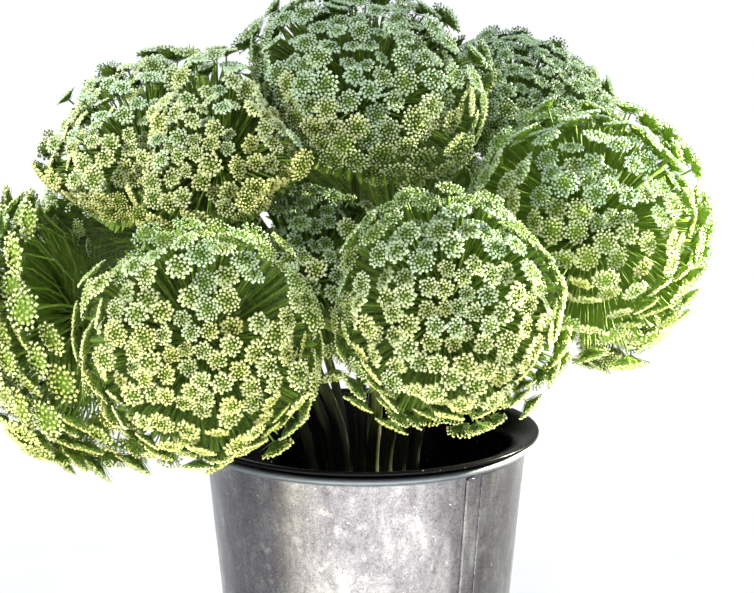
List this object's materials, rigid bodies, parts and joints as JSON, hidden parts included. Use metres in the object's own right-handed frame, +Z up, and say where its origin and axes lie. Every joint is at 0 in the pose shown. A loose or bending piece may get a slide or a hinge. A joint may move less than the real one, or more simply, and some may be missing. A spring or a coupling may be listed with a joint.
{
  "type": "bishop's flower bunch in a florist's bucket",
  "caption": "Cut bishop's flower stems with broad domed umbels, standing in water in a galvanised florist's bucket with a black plastic liner.",
  "frame": {"origin": "centre of the bucket's flat underside, on the surface that it stands on", "axes": "+Z up; -Y is the front, where the heads lean out over the rim; +X to the right seen from the front"},
  "size_m": [0.4605, 0.343, 0.505],
  "materials": {
    "steel": "spangled galvanised sheet, satin",
    "plastic": "black moulded plastic, glossy",
    "water": "still water, clear",
    "stem": "fresh ribbed stem, yellow-green, slightly waxy",
    "bloom": "cream and green florets on green rays, matt"
  },
  "bodies": {
    "root": {"bucket": "steel", "liner": "plastic", "water": "water", "stem_upper_left": "stem", "stem_middle_left": "stem", "stem_front_left": "stem", "stem_far_left": "stem", "stem_top": "stem", "stem_back_right": "stem", "stem_right": "stem", "stem_far_right": "stem", "stem_front_right": "stem", "stem_middle": "stem", "stem_back_left": "stem", "stem_back": "stem", "umbel_upper_left": "bloom", "umbel_middle_left": "bloom", "umbel_front_left": "bloom", "umbel_far_left": "bloom", "umbel_top": "bloom", "umbel_back_right": "bloom", "umbel_right": "bloom", "umbel_far_right": "bloom", "umbel_front_right": "bloom", "umbel_middle": "bloom", "umbel_back_left": "bloom", "umbel_back": "bloom"}
  },
  "joints": []
}
